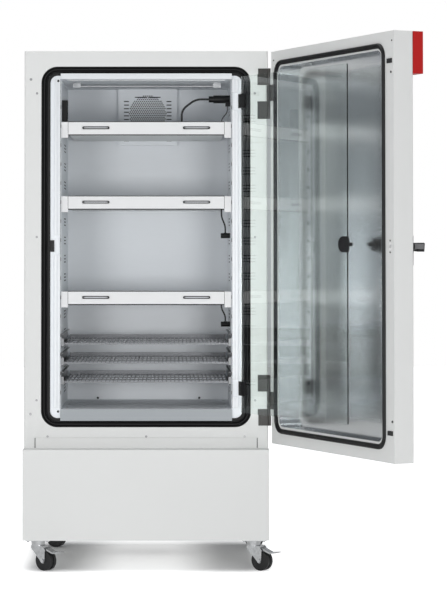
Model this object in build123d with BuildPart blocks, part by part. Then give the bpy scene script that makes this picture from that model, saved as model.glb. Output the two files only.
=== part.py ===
from build123d import *
from math import cos, radians, sin, tan
import os

os.makedirs("parts", exist_ok=True)

# Plant growth chamber: a tall insulated cabinet on a castored plinth.
# It has an insulated outer door and an inner glass door, both hung on the right.
# Both doors stand open, as they do at rest.

# Cabinet body
cabinet_width = 925
cabinet_depth = 720
cabinet_height = 1505
skin = 2
frame_depth = 22
edge_radius = 6
half = cabinet_width / 2

# Plinth and castors
plinth_height = 339
plinth_front = 88
castor_height = 115
wheel_diameter = 75
wheel_width = 32
trail = 38

# Chamber
opening_half = half - 137.5
floor_level = 147
ceiling_level = cabinet_height - 106.5
chamber_depth = cabinet_depth - 155
flange_depth = 8

# Seal on the cabinet front
gasket_half = half - 64
gasket_low = 78
gasket_high = cabinet_height - 59
gasket_radius = 62
gasket_width = 34
seat_gap = 0.3

# Outer door, measured from its hinge axis
door_hinge_x = half + 4.5
door_hinge_y = -5
door_open = 114.5
door_near = 7
door_far = cabinet_width + 2
door_inner = 5.5
door_outer = 83
door_low = 18
door_high = cabinet_height - 4
pan_depth = 45
display_width = 230
display_low = door_high - 146
display_depth = 47

# Glass door, measured from its own hinge axis
glass_hinge_x = opening_half + 34
glass_hinge_y = -4.5
glass_open = 121.2
glass_near = 6
glass_far = 2 * opening_half + 42
glass_low = 133.5
glass_high = ceiling_level + 9.3
glass_half = 2.5

# Light cassettes, racks and the access port
chamber_height = ceiling_level - floor_level
cassette_drop = 162.8
middle_share = 0.644
lower_share = 0.3548
cassette_tops = [
    ceiling_level - cassette_drop,
    floor_level + middle_share * chamber_height,
    floor_level + lower_share * chamber_height,
]
rail_height = 47
rack_step = 72.5
rack_levels = [floor_level + 101 + n * rack_step for n in (2, 1, 0)]
rack_half = opening_half - 13
rack_front = 25
rack_back = chamber_depth - 45
wire_count = 41
wire_pitch = 2 * (rack_half - 2) / (wire_count - 1)
port_y = chamber_depth / 2 + 17.5
port_level = cabinet_height - 235
port_radius = 24

# Position of the middle of the cabinet front when the origin is under the middle of the whole
turn = radians(door_open)
swing_right = door_hinge_x - door_far * cos(turn) + (door_outer + display_depth) * sin(turn)
swing_front = door_hinge_y - door_far * sin(turn) - door_inner * cos(turn)
port_head = 4.5
mid_x = (half + port_head - swing_right) / 2
mid_y = -(cabinet_depth + swing_front) / 2
base_z = castor_height + plinth_height


# Horizontal plane at a height above the cabinet's bottom, X to the right and Y to the back
def level(z):
    return Plane(origin=(mid_x, mid_y, base_z + z))


# Upright plane facing the front, X to the right and Y upwards
def facing(y):
    return Plane(origin=(mid_x, mid_y + y, base_z), x_dir=(1, 0, 0), z_dir=(0, -1, 0))


# Upright plane facing the right side, X to the back and Y upwards
def across(x):
    return Plane(origin=(mid_x + x, mid_y, base_z), x_dir=(0, 1, 0), z_dir=(1, 0, 0))


# Plan of a door leaf, X from the hinge axis to the free edge and Y outwards
def leaf_plan(hinge_x, hinge_y, angle, z):
    along = (-cos(radians(angle)), -sin(radians(angle)), 0)
    return Plane(origin=(mid_x + hinge_x, mid_y + hinge_y, base_z + z), x_dir=along)


def door_plan(z):
    return leaf_plan(door_hinge_x, door_hinge_y, door_open, z)


def glass_plan(z):
    return leaf_plan(glass_hinge_x, glass_hinge_y, glass_open, z)


# Face of a door leaf, X from the hinge axis to the free edge and Y upwards
def leaf_face(plan, out):
    away = plan.y_dir * out
    return Plane(origin=plan.origin + away, x_dir=plan.x_dir, z_dir=plan.y_dir * -1)


def door_face(out):
    return leaf_face(door_plan(0), out)


def glass_face(out):
    return leaf_face(glass_plan(0), out)


# A square-edged block given by its ranges along the three directions of a plan
def block(plan, xs, ys, zs, mode=Mode.ADD):
    with BuildSketch(plan(zs[0])) as outline:
        with Locations(((xs[0] + xs[1]) / 2, (ys[0] + ys[1]) / 2)):
            Rectangle(xs[1] - xs[0], ys[1] - ys[0])
    extrude(outline.sketch, amount=zs[1] - zs[0], mode=mode)


# Upright round posts at listed places on a plan
def posts(plan, places, radius, zs, mode=Mode.ADD):
    with BuildSketch(plan(zs[0])) as outline:
        with Locations(places):
            Circle(radius)
    extrude(outline.sketch, amount=zs[1] - zs[0], mode=mode)


# Round discs that stand on a face, at listed places
def discs(face, places, radius, amount, mode=Mode.ADD):
    with BuildSketch(face) as outline:
        with Locations(places):
            Circle(radius)
    extrude(outline.sketch, amount=amount, mode=mode)


def save(piece, name):
    piece.part.label = name
    export_step(piece.part, "parts/" + name + ".step")


# Front frame: a deep ring with a rounded hole that holds the seal and the liner's flange
gasket_height = gasket_high - gasket_low
gasket_middle = (gasket_high + gasket_low) / 2
panel_half = half - 43.5
panel_height = 38
panel_thick = 3
seam_x = half - 73

with BuildPart() as front_frame:
    with BuildSketch(facing(0)):
        with Locations((0, cabinet_height / 2)):
            Rectangle(cabinet_width, cabinet_height)
        with Locations((0, gasket_middle)):
            RectangleRounded(2 * gasket_half, gasket_height, gasket_radius, mode=Mode.SUBTRACT)
    extrude(amount=-frame_depth)
    corners = front_frame.edges().filter_by(Axis.Z).group_by(Axis.Y)[0]
    fillet(corners.sort_by(Axis.X)[0], edge_radius)
    corners = front_frame.edges().filter_by(Axis.Z).group_by(Axis.Y)[0]
    fillet(corners.sort_by(Axis.X)[-1], edge_radius)
    # Recess for the service panel, and the seams above and below the seal
    with BuildSketch(facing(0)):
        with Locations((0, (panel_height + 1) / 2)):
            Rectangle(2 * panel_half + 6, panel_height + 1)
    extrude(amount=-panel_thick, mode=Mode.SUBTRACT)
    with BuildSketch(facing(0)):
        for x in (-seam_x, seam_x):
            with Locations((x, (panel_height + gasket_low) / 2 + 8)):
                Rectangle(1.6, gasket_low - panel_height - 1)
            with Locations((x, (cabinet_height + gasket_high) / 2 - 6)):
                Rectangle(1.6, cabinet_height - gasket_high + 12)
    extrude(amount=-1, mode=Mode.SUBTRACT)
save(front_frame, "front_frame")

# Service panel under the opening, with small finger cut-outs at its top edge
panel_screws = (46 - panel_half, 0, panel_half - 46)
with BuildPart() as service_panel:
    with BuildSketch(facing(0)):
        with Locations((0, panel_height / 2)):
            Rectangle(2 * panel_half, panel_height)
        with Locations([(x, panel_height) for x in panel_screws]):
            Rectangle(12, 8, mode=Mode.SUBTRACT)
    extrude(amount=-panel_thick)
save(service_panel, "service_panel")

# Side skins, the left one bored for the access port
bore_radius = port_radius + 4
with BuildPart() as side_panels:
    for side in (-1, 1):
        xs = sorted((side * half, side * (half - skin)))
        block(level, xs, (frame_depth, cabinet_depth), (0, cabinet_height - skin))
    with BuildSketch(across(-half)):
        with Locations((port_y, port_level)):
            Circle(bore_radius + seat_gap)
    extrude(amount=skin, mode=Mode.SUBTRACT)
save(side_panels, "side_panels")

with BuildPart() as top_panel:
    block(level, (-half, half), (frame_depth, cabinet_depth), (cabinet_height - skin, cabinet_height))
save(top_panel, "top_panel")

inside = half - skin
with BuildPart() as rear_panel:
    block(level, (-inside, inside), (cabinet_depth - skin, cabinet_depth), (0, cabinet_height - skin))
save(rear_panel, "rear_panel")

# Insulation between the skins and the liner
liner_skin = 2
liner_half = opening_half + liner_skin
liner_floor = floor_level - liner_skin
liner_roof = ceiling_level + liner_skin
liner_back = chamber_depth + 2 * liner_skin
flange_back = flange_depth + liner_skin
with BuildPart() as insulation:
    block(
        level,
        (skin - half, half - skin),
        (frame_depth, cabinet_depth - skin),
        (0, cabinet_height - skin),
    )
    with BuildSketch(facing(flange_back)):
        with Locations((0, gasket_middle)):
            RectangleRounded(2 * gasket_half - 2, gasket_height - 2, gasket_radius - 1)
    extrude(amount=flange_back - frame_depth)
    block(level, (-liner_half, liner_half), (0, liner_back), (liner_floor, liner_roof), Mode.SUBTRACT)
    with BuildSketch(across(-half)):
        with Locations((port_y, port_level)):
            Circle(bore_radius + seat_gap)
    extrude(amount=half - opening_half, mode=Mode.SUBTRACT)
save(insulation, "insulation")

# Chamber liner: a folded box with a wide flange round its mouth
with BuildPart() as chamber_liner:
    with BuildSketch(facing(flange_depth)):
        with Locations((0, gasket_middle)):
            RectangleRounded(
                2 * (gasket_half - seat_gap), gasket_height - 2 * seat_gap, gasket_radius - seat_gap
            )
    extrude(amount=-liner_skin)
    block(
        level,
        (-liner_half, liner_half),
        (flange_depth, liner_back),
        (liner_floor, liner_roof),
    )
    block(
        level,
        (-opening_half, opening_half),
        (flange_depth, liner_back - liner_skin),
        (floor_level, ceiling_level),
        Mode.SUBTRACT,
    )
    with BuildSketch(across(-liner_half)):
        with Locations((port_y, port_level)):
            Circle(bore_radius + seat_gap)
    extrude(amount=liner_skin, mode=Mode.SUBTRACT)
save(chamber_liner, "chamber_liner")

# Slotted side walls that spread the air and carry the cassettes and runners
wall_thick = 1.5
slot_first = floor_level + 49
slot_rows = 16
slot_pitch = (ceiling_level - slot_first - 118) / (slot_rows - 1)
slot_y = chamber_depth - 235
slot_levels = [slot_first + n * slot_pitch for n in range(slot_rows)]
with BuildPart() as wall_panels:
    for side in (-1, 1):
        xs = sorted((side * opening_half, side * (opening_half - wall_thick)))
        block(level, xs, (12, chamber_depth - 4), (floor_level, ceiling_level))
    with BuildSketch(across(-opening_half)):
        for z in slot_levels:
            with Locations([(slot_y, z + step) for step in (0, 12.5, 25)]):
                Rectangle(150, 5)
            with Locations((18, z + 12)):
                Rectangle(12, 14)
    extrude(amount=2 * opening_half, mode=Mode.SUBTRACT)
    with BuildSketch(across(-opening_half)):
        for z in slot_levels:
            with Locations((chamber_depth - 65, z + 12.5)):
                RegularPolygon(6, 8)
    extrude(amount=2 * opening_half, mode=Mode.SUBTRACT)
    with BuildSketch(across(-opening_half)):
        with Locations((port_y, port_level)):
            Circle(bore_radius + seat_gap)
    extrude(amount=wall_thick, mode=Mode.SUBTRACT)
save(wall_panels, "wall_panels")

# Rear air baffle with its screws
inner_half = opening_half - wall_thick
with BuildPart() as back_wall:
    block(
        level,
        (-opening_half, opening_half),
        (chamber_depth, chamber_depth + liner_skin),
        (floor_level, ceiling_level),
    )
    low = floor_level + 6
    edge = opening_half - 25
    mid = (floor_level + ceiling_level) / 2
    screws = [(-201, low), (208, low), (-edge, mid), (edge, mid)]
    discs(facing(chamber_depth), screws, 4, 2)
save(back_wall, "back_wall")

# Fan cover: a sheet box on the back wall with staggered rows of short slots
cover_half = 118.5
cover_low = ceiling_level - 226.5
cover_face = chamber_depth - 27
cover_skin = 1.5
with BuildPart() as fan_cover:
    block(level, (-cover_half, cover_half), (cover_face, chamber_depth), (cover_low, ceiling_level))
    block(
        level,
        (cover_skin - cover_half, cover_half - cover_skin),
        (cover_face + cover_skin, chamber_depth),
        (cover_low + cover_skin, ceiling_level - cover_skin),
        Mode.SUBTRACT,
    )
    # Short slots down both sides and long ones at the top
    with BuildSketch(facing(cover_face)):
        for row in range(12):
            with Locations((-86, cover_low + 18 + row * 14.5), (86, cover_low + 18 + row * 14.5)):
                Rectangle(20, 4)
        with Locations((-28, ceiling_level - 32), (28, ceiling_level - 32)):
            Rectangle(48, 4)
    extrude(amount=-cover_skin, mode=Mode.SUBTRACT)
    upper = ceiling_level - 39.5
    lower = cover_low + 18
    discs(facing(cover_face), [(-111, upper), (111, upper), (-111, lower), (111, lower)], 4, 2)
save(fan_cover, "fan_cover")

# Circulation fan behind the cover: a fixed motor with its bracket, and a bladed rotor
fan_z = (cover_low + ceiling_level) / 2
fan_back = chamber_depth
motor_deep = 11
blade_y = fan_back - 18
blade_reach = 78
with BuildPart() as fan_motor:
    with BuildSketch(facing(fan_back)):
        with Locations((0, fan_z)):
            Rectangle(120, 30)
    extrude(amount=2)
    discs(facing(fan_back), [(0, fan_z)], 30, motor_deep)
    discs(facing(fan_back - motor_deep), [(0, fan_z)], 3, 13)
save(fan_motor, "fan_motor")

hub_centre = Vector(mid_x, mid_y + blade_y, base_z + fan_z)
with BuildPart() as fan_rotor:
    discs(facing(blade_y + 5.5), [(0, fan_z)], 14, 11)
    for blade in range(5):
        around = radians(72 * blade)
        radial = Vector(cos(around), 0, sin(around))
        tangent = Vector(-sin(around), 0, cos(around))
        with BuildSketch(Plane(origin=hub_centre + radial * 10, x_dir=tangent, z_dir=radial)):
            Rectangle(22, 2, rotation=25)
        extrude(amount=blade_reach - 10)
    discs(facing(fan_back), [(0, fan_z)], 3 + seat_gap, 40, Mode.SUBTRACT)
save(fan_rotor, "fan_rotor")

# Ridged magnetic seal round the opening, swept along the frame's rounded hole
lip = 4
ridge = 9
with BuildPart() as frame_gasket:
    with BuildSketch(facing(flange_depth)) as seal_outline:
        with Locations((0, gasket_middle)):
            RectangleRounded(
                2 * (gasket_half - seat_gap), gasket_height - 2 * seat_gap, gasket_radius - seat_gap
            )
    seal_path = seal_outline.sketch.face().outer_wire()
    inward = Vector(0, -1, 0).cross(seal_path % 0)
    with BuildSketch(Plane(origin=seal_path @ 0, x_dir=inward, z_dir=seal_path % 0)) as seal_cut:
        with BuildLine():
            Polyline(
                (0, 0),
                (0, ridge - 1),
                (3, ridge),
                (7, 5),
                (10, ridge),
                (13, ridge),
                (16, 5),
                (20, ridge),
                (24, lip),
                (gasket_width, lip),
                (gasket_width, 0),
                close=True,
            )
        make_face()
    sweep(sections=seal_cut.sketch, path=seal_path)
save(frame_gasket, "frame_gasket")

# Strips round the opening that the glass closes on, with room for its hinges and handle
strip_face = -1.6
strip_low = floor_level + 3
strip_in = opening_half + 1.5
strip_out = opening_half + 23
hinge_levels = [glass_low + 91.3, glass_high - 93.3]
hinge_half = 26.5
handle_level = (glass_low + glass_high) / 2 - 2.65
lip_front = flange_depth - lip - 0.4
with BuildPart() as opening_trim:
    for side in (-1, 1):
        xs = sorted((side * strip_in, side * strip_out))
        block(level, xs, (strip_face, flange_depth), (strip_low, ceiling_level))
        groove = sorted((side * (opening_half + 10.5), side * (opening_half + 13.5)))
        block(level, groove, (strip_face, strip_face + 3), (strip_low, ceiling_level), Mode.SUBTRACT)
    for z in hinge_levels:
        gap = (z - hinge_half - 6, z + hinge_half + 6)
        block(level, (strip_in, strip_out), (strip_face, flange_depth), gap, Mode.SUBTRACT)
    gap = (handle_level - 36, handle_level + 36)
    block(level, (-strip_out, -strip_in), (strip_face, flange_depth), gap, Mode.SUBTRACT)
    inner_low = gasket_low + gasket_width + 0.3
    inner_high = gasket_high - gasket_width - 0.3
    block(level, (-opening_half, opening_half), (strip_face, flange_depth), (inner_low, floor_level))
    block(level, (-opening_half, opening_half), (strip_face, lip_front), (inner_low - 10, inner_low))
    block(level, (-opening_half, opening_half), (strip_face, flange_depth), (ceiling_level, inner_high))
    block(level, (-opening_half, opening_half), (strip_face, lip_front), (inner_high, inner_high + 8))
save(opening_trim, "opening_trim")

# Screws and contact studs on the front frame
with BuildPart() as frame_screws:
    tall = (180, gasket_middle + 36, gasket_high - 102)
    places = [(side * (half - 47.5), z) for side in (-1, 1) for z in tall]
    places += [(x, panel_height + 5) for x in panel_screws]
    discs(facing(0), places, 4.5, 1.1)
    discs(facing(0), [(24.5 - half, 128), (24.5 - half, cabinet_height - 108)], 5, 1.1)
save(frame_screws, "frame_screws")

# Outer door hinges: two leaves on the cabinet with one pin, above and below
barrel = 6
pin = 3
leaf_left = half - 37.5
low_pair = (84.5, 147, 213.5, 276)
high_pair = tuple(cabinet_height - drop for drop in (258.3, 191.5, 129.3, 66.4))
pair_levels = [low_pair, high_pair]
with BuildPart() as door_hinges:
    for z1, z2, z3, z4 in pair_levels:
        for zs in ((z1, z2), (z3, z4)):
            block(level, (leaf_left, door_hinge_x - 3), (-3, 0), zs)
            block(level, (leaf_left + 11, leaf_left + 19), (-6, -3), (zs[0] + 4, zs[1] - 4))
            posts(level, [(door_hinge_x, door_hinge_y)], barrel, zs)
            middle = (zs[0] + zs[1]) / 2
            discs(facing(-3), [(leaf_left + 30, middle)], 4, 1.5)
        posts(level, [(door_hinge_x, door_hinge_y)], pin, (z2, z3))
save(door_hinges, "door_hinges")

# Glass door hinges on the flange, with their pins, and the catch for the handle
glass_barrel = 5
glass_pin = 2
knuckle = 13
with BuildPart() as glass_door_fittings:
    for z in hinge_levels:
        for zs in ((z - hinge_half, z - knuckle), (z + knuckle, z + hinge_half)):
            block(level, (glass_hinge_x - 4.5, glass_hinge_x + 4.5), (glass_hinge_y, flange_depth), zs)
            posts(level, [(glass_hinge_x, glass_hinge_y)], glass_barrel, zs)
        zs = (z - hinge_half, z + hinge_half)
        block(level, (glass_hinge_x - 9, glass_hinge_x + 4.5), (2, flange_depth), zs)
        posts(level, [(glass_hinge_x, glass_hinge_y)], glass_pin, (z - knuckle, z + knuckle))
    catch = (-opening_half - 38.5, -opening_half - 24)
    block(level, catch, (2, flange_depth), (handle_level - 26, handle_level + 18))
    catch = (-opening_half - 34, -opening_half - 26)
    block(level, catch, (-6, 2), (handle_level - 16, handle_level + 8))
save(glass_door_fittings, "glass_door_fittings")

# Light cassettes: shallow trays that are open below, with thick ends that hold the lamps
tray_half = opening_half - 30
tray_front = 14
tray_back = chamber_depth - 31
tray_end = 12
with BuildPart() as light_cassettes:
    for top in cassette_tops:
        zs = (top - rail_height, top - 3)
        block(level, (-tray_half, tray_half), (tray_front, tray_back), zs)
        block(
            level,
            (tray_end - tray_half, tray_half - tray_end),
            (tray_front + 2, tray_back - 2),
            (top - rail_height, top - 5),
            Mode.SUBTRACT,
        )
save(light_cassettes, "light_cassettes")

# Front rails with two slots each, and the end brackets that hang on the slotted walls
bracket_height = 60
bracket_out = opening_half - 5
rail_half = opening_half - 28
with BuildPart() as light_rails:
    for top in cassette_tops:
        block(level, (-rail_half, rail_half), (tray_front - 4, tray_front), (top - rail_height, top))
        for side in (-1, 1):
            xs = sorted((side * rail_half, side * bracket_out))
            block(level, xs, (tray_front - 4, tray_front), (top - bracket_height, top))
            xs = sorted((side * bracket_out, side * inner_half))
            block(level, xs, (tray_front - 4, tray_front + 30), (top - bracket_height, top))
        with BuildSketch(facing(tray_front - 4)):
            with Locations((105.5 - rail_half, top - 22), (rail_half - 105.5, top - 22)):
                Rectangle(105, 12.5)
        extrude(amount=-4, mode=Mode.SUBTRACT)
        screw_x = rail_half + 7
        discs(facing(tray_front - 4), [(-screw_x, top - 17), (screw_x, top - 17)], 4, 1.5)
save(light_rails, "light_rails")

# Clear diffusers inside the open bottoms of the trays
with BuildPart() as light_diffusers:
    for top in cassette_tops:
        low = top - rail_height
        block(
            level,
            (tray_end - tray_half, tray_half - tray_end),
            (tray_front + 2, tray_back - 2),
            (low, low + 3),
        )
save(light_diffusers, "light_diffusers")

# Four slim fluorescent tubes in each tray, held between its ends
lamp_half = tray_half - tray_end
lamp_radius = 8
lamp_pitch = (tray_back - tray_front - 145) / 3
with BuildPart() as lamp_tubes:
    for top in cassette_tops:
        with BuildSketch(across(-lamp_half)):
            lamp_level = top - rail_height + 23
            with Locations([(tray_front + 71 + n * lamp_pitch, lamp_level) for n in range(4)]):
                Circle(lamp_radius)
        extrude(amount=2 * lamp_half)
save(lamp_tubes, "lamp_tubes")

# Plugs on the right wall and a gland on the top tray
plug_y = 200
cord_x = opening_half - 20
plug_levels = [cassette_tops[1] - 148, cassette_tops[2] - 129]
socket_level = ceiling_level - 63.5
socket_end = opening_half - 84
entry_x = opening_half - 189
plug_top = 11
sensor_socket = ceiling_level - 94.5
sensor_x = opening_half - 13
with BuildPart() as light_connectors:
    with BuildSketch(across(inner_half)):
        with Locations((plug_y, socket_level)):
            Circle(15.5)
    extrude(amount=-(inner_half - socket_end - 18))
    with BuildSketch(across(inner_half)):
        with Locations((plug_y, socket_level)):
            Circle(12)
    extrude(amount=-(inner_half - socket_end))
    with BuildSketch(across(inner_half)):
        with Locations([(plug_y, z) for z in plug_levels]):
            Circle(10)
    extrude(amount=-36)
    for z in plug_levels:
        block(level, (cord_x - 6, cord_x + 6), (plug_y - 6, plug_y + 6), (z, z + plug_top))
    posts(level, [(entry_x, plug_y)], 8, (cassette_tops[0] - 3, cassette_tops[0] + 8))
    block(level, (sensor_x - 8, inner_half), (142, 158), (sensor_socket, sensor_socket + 16))
save(light_connectors, "light_connectors")


# A cord follows straight runs joined by arcs, and each arc's radius comes from its runs
def cord_radii(points):
    radii = []
    for a, b, c in zip(points, points[1:], points[2:]):
        before = Vector(*b) - Vector(*a)
        after = Vector(*c) - Vector(*b)
        bend = radians(before.get_angle(after)) / 2
        radii.append(0.45 * min(before.length, after.length) / tan(bend))
    return radii


def cord_points(y, pairs):
    return [(mid_x + x, mid_y + y, base_z + z) for x, z in pairs]


def report_cord(name, points, diameter, radii, volume):
    section = 3.141593 * diameter * diameter / 4
    rounded = [round(r, 1) for r in radii]
    print(name, "radii", rounded, "length", round(volume / section, 1))


# Cable from the big plug to the top cassette
cable_1_size = 8
cable_1_points = cord_points(
    plug_y,
    [
        (socket_end, socket_level),
        (socket_end - 51, socket_level),
        (entry_x, socket_level - 41),
        (entry_x, cassette_tops[0] + 8),
    ],
)
cable_1_radii = cord_radii(cable_1_points)
with BuildPart() as light_cable_1:
    with BuildLine() as route_1:
        FilletPolyline(*cable_1_points, radius=cable_1_radii)
    with BuildSketch(Plane(origin=route_1.line @ 0, z_dir=route_1.line % 0)):
        Circle(cable_1_size / 2)
    sweep()
save(light_cable_1, "light_cable_1")
report_cord("light_cable_1", cable_1_points, cable_1_size, cable_1_radii, light_cable_1.part.volume)

# Cord from the middle cassette down to its plug
cable_size = 6
cassette_entry = tray_half - 5
cable_2_points = cord_points(
    plug_y,
    [
        (cord_x, plug_levels[0] + plug_top),
        (cord_x, plug_levels[0] + 37),
        (cassette_entry, plug_levels[0] + 73),
        (cassette_entry, cassette_tops[1] - rail_height),
    ],
)
cable_2_radii = cord_radii(cable_2_points)
with BuildPart() as light_cable_2:
    with BuildLine() as route_2:
        FilletPolyline(*cable_2_points, radius=cable_2_radii)
    with BuildSketch(Plane(origin=route_2.line @ 0, z_dir=route_2.line % 0)):
        Circle(cable_size / 2)
    sweep()
save(light_cable_2, "light_cable_2")
report_cord("light_cable_2", cable_2_points, cable_size, cable_2_radii, light_cable_2.part.volume)

# Cord from the lowest cassette down to its plug
cable_3_points = cord_points(
    plug_y,
    [
        (cord_x, plug_levels[1] + plug_top),
        (cord_x, plug_levels[1] + 31),
        (cassette_entry, plug_levels[1] + 60),
        (cassette_entry, cassette_tops[2] - rail_height),
    ],
)
cable_3_radii = cord_radii(cable_3_points)
with BuildPart() as light_cable_3:
    with BuildLine() as route_3:
        FilletPolyline(*cable_3_points, radius=cable_3_radii)
    with BuildSketch(Plane(origin=route_3.line @ 0, z_dir=route_3.line % 0)):
        Circle(cable_size / 2)
    sweep()
save(light_cable_3, "light_cable_3")
report_cord("light_cable_3", cable_3_points, cable_size, cable_3_radii, light_cable_3.part.volume)

# Thin cable from the small socket on the right wall down to the top cassette
sensor_size = 4
sensor_points = cord_points(
    150,
    [
        (sensor_x, sensor_socket),
        (sensor_x, sensor_socket - 22),
        (sensor_x - 22, sensor_socket - 50),
        (sensor_x - 22, cassette_tops[0] - 3),
    ],
)
sensor_radii = cord_radii(sensor_points)
with BuildPart() as sensor_cable:
    with BuildLine() as sensor_route:
        FilletPolyline(*sensor_points, radius=sensor_radii)
    with BuildSketch(Plane(origin=sensor_route.line @ 0, z_dir=sensor_route.line % 0)):
        Circle(sensor_size / 2)
    sweep()
save(sensor_cable, "sensor_cable")
report_cord("sensor_cable", sensor_points, sensor_size, sensor_radii, sensor_cable.part.volume)

# Rod across the chamber under its ceiling, with its end fittings
rod_y = 228
rod_level = ceiling_level - 10.5
rod_half = opening_half - 37
with BuildPart() as hanger_rod:
    with BuildSketch(across(-rod_half)):
        with Locations((rod_y, rod_level)):
            Circle(4)
    extrude(amount=2 * rod_half)
    for side in (-1, 1):
        xs = sorted((side * (rod_half - 30), side * rod_half))
        block(level, xs, (rod_y - 8, rod_y + 8), (rod_level - 6, ceiling_level))
    block(level, (-rod_half - 12, rod_half + 12), (42, 50), (ceiling_level - 3, ceiling_level))
save(hanger_rod, "hanger_rod")

# Climate sensor in a slotted housing high on the left wall
sensor_low = ceiling_level - 160.5
sensor_face = -opening_half + 24
with BuildPart() as climate_sensor:
    block(level, (-inner_half, sensor_face), (60, 92), (sensor_low, sensor_low + 84))
    upright = climate_sensor.edges().filter_by(Axis.Z).group_by(Axis.X)[-1]
    chamfer(upright, 4)
    for n in range(6):
        z = sensor_low + 14 + n * 10
        block(level, (sensor_face - 4, sensor_face), (66, 86), (z, z + 4), Mode.SUBTRACT)
save(climate_sensor, "climate_sensor")

# Rack runners: a ledge and an upper guide on each wall, joined by uprights
runner_back = rack_back + 10
with BuildPart() as rack_runners:
    for side in (-1, 1):
        for z in rack_levels:
            ledge = sorted((side * inner_half, side * (rack_half - 4)))
            block(level, ledge, (20, runner_back), (z - 5, z - 3))
            web = sorted((side * inner_half, side * (inner_half - 1.5)))
            block(level, web, (20, runner_back), (z - 5, z + 38))
            guide = sorted((side * inner_half, side * (inner_half - 9)))
            block(level, guide, (20, runner_back), (z + 36, z + 38))
            block(level, web, (runner_back - 6, runner_back), (z - 24, z + 38))
            hook = sorted((side * inner_half, side * (rack_half + 0.6)))
            block(level, hook, (14, 20), (z - 8, z + 20))
save(rack_runners, "rack_runners")

# Wire racks: parallel wires on flat cross bars, with a raised wire at the back
wire_radius = 1.7
bar_half = rack_half
bar_step = (rack_back - 8 - rack_front) / 3
for number, rack_level in enumerate(rack_levels, 1):
    with BuildPart() as rack:
        with BuildSketch(facing(rack_front)):
            with GridLocations(wire_pitch, 1, wire_count - 2, 1):
                with Locations((0, rack_level + 3)):
                    RegularPolygon(wire_radius, 8, rotation=22.5)
        extrude(amount=rack_front - rack_back)
        for y in [rack_front + n * bar_step for n in range(4)]:
            block(level, (-bar_half, bar_half), (y, y + 8), (rack_level - 3, rack_level + 1.8))
        for side in (-1, 1):
            xs = sorted((side * bar_half, side * (bar_half - 5)))
            block(level, xs, (rack_front, rack_back), (rack_level - 3, rack_level + 4))
        block(level, (-bar_half, bar_half), (rack_back - 3, rack_back), (rack_level - 3, rack_level + 18))
    save(rack, f"rack_{number}")

# Plinth: a folded cover over the cooling unit, on a base plate
plinth_back = cabinet_depth
plinth_skin = 2
base_top = 3 - plinth_height
with BuildPart() as plinth_cover:
    block(level, (-half, half), (-plinth_front, plinth_back), (base_top, 0))
    block(
        level,
        (plinth_skin - half, half - plinth_skin),
        (plinth_skin - plinth_front, plinth_back),
        (base_top, -plinth_skin),
        Mode.SUBTRACT,
    )
    uprights = plinth_cover.edges().filter_by(Axis.Z).group_by(Axis.Y)[0]
    fillet(uprights, 1.5)
save(plinth_cover, "plinth_cover")

with BuildPart() as plinth_base:
    block(level, (-half, half), (-plinth_front, plinth_back), (-plinth_height, base_top))
    with BuildSketch(level(-plinth_height)):
        with Locations((0, cabinet_depth - 250)):
            Rectangle(300, 160)
    extrude(amount=3, mode=Mode.SUBTRACT)
save(plinth_base, "plinth_base")

# Louvred grille that closes the back of the plinth
louvre_pitch = (cabinet_width - 165) / 4
with BuildPart() as rear_grille:
    xs = (plinth_skin - half, half - plinth_skin)
    block(level, xs, (plinth_back - 2, plinth_back), (base_top, -plinth_skin))
    with BuildSketch(facing(plinth_back)):
        with GridLocations(louvre_pitch, 22, 4, 10):
            with Locations((0, -plinth_height / 2)):
                Rectangle(0.8 * louvre_pitch, 9)
    extrude(amount=2, mode=Mode.SUBTRACT)
save(rear_grille, "rear_grille")

# Cooling unit: compressor, receiver, condenser coil and its fan shroud
coil_y = cabinet_depth - 300
with BuildPart() as cooling_unit:
    posts(level, [(-230, coil_y - 90)], 95, (base_top, base_top + 14))
    posts(level, [(-230, coil_y - 90)], 82, (base_top + 14, base_top + 200))
    dome = cooling_unit.edges().filter_by(GeomType.CIRCLE).group_by(Axis.Z)[-1]
    fillet(dome, 30)
    posts(level, [(-20, coil_y - 160)], 36, (base_top, base_top + 180))
    block(level, (80, 400), (coil_y, coil_y + 60), (base_top, base_top + 280))
    block(level, (100, 380), (coil_y + 60, coil_y + 100), (base_top, base_top + 260))
    discs(facing(coil_y), [(240, base_top + 140)], 105, 12)
    block(level, (-400, -340), (60, coil_y), (base_top, base_top + 220))
save(cooling_unit, "cooling_unit")

# Outer door shell with a deep recess on its inner side and a shallow oval for the catch
pan_near = 67
pan_far = door_far - 82
pan_low = 85
pan_high = door_high - 61
pan_radius = 30
pan_skin = 1.5
door_middle = (door_near + door_far) / 2
door_tall = door_high - door_low
pan_middle = ((pan_near + pan_far) / 2, (pan_low + pan_high) / 2)
latch_u = door_far - 26
latch_level = (door_low + door_high) / 2 + 0.5
with BuildPart() as door_shell:
    with BuildSketch(door_face(door_inner)):
        with Locations((door_middle, (door_low + door_high) / 2)):
            Rectangle(door_far - door_near, door_tall)
    extrude(amount=door_inner - door_outer)
    outer_edges = door_shell.faces().sort_by(Axis(door_face(0).origin, door_face(0).z_dir))[0].edges()
    fillet(outer_edges, 5)
    with BuildSketch(door_face(door_inner)):
        with Locations(pan_middle):
            RectangleRounded(pan_far - pan_near, pan_high - pan_low, pan_radius)
    extrude(amount=-pan_depth - pan_skin, mode=Mode.SUBTRACT)
    with BuildSketch(door_face(door_inner)):
        with Locations((latch_u, latch_level)):
            Ellipse(10, 13.5)
    extrude(amount=-4, mode=Mode.SUBTRACT)
save(door_shell, "door_shell")

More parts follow.
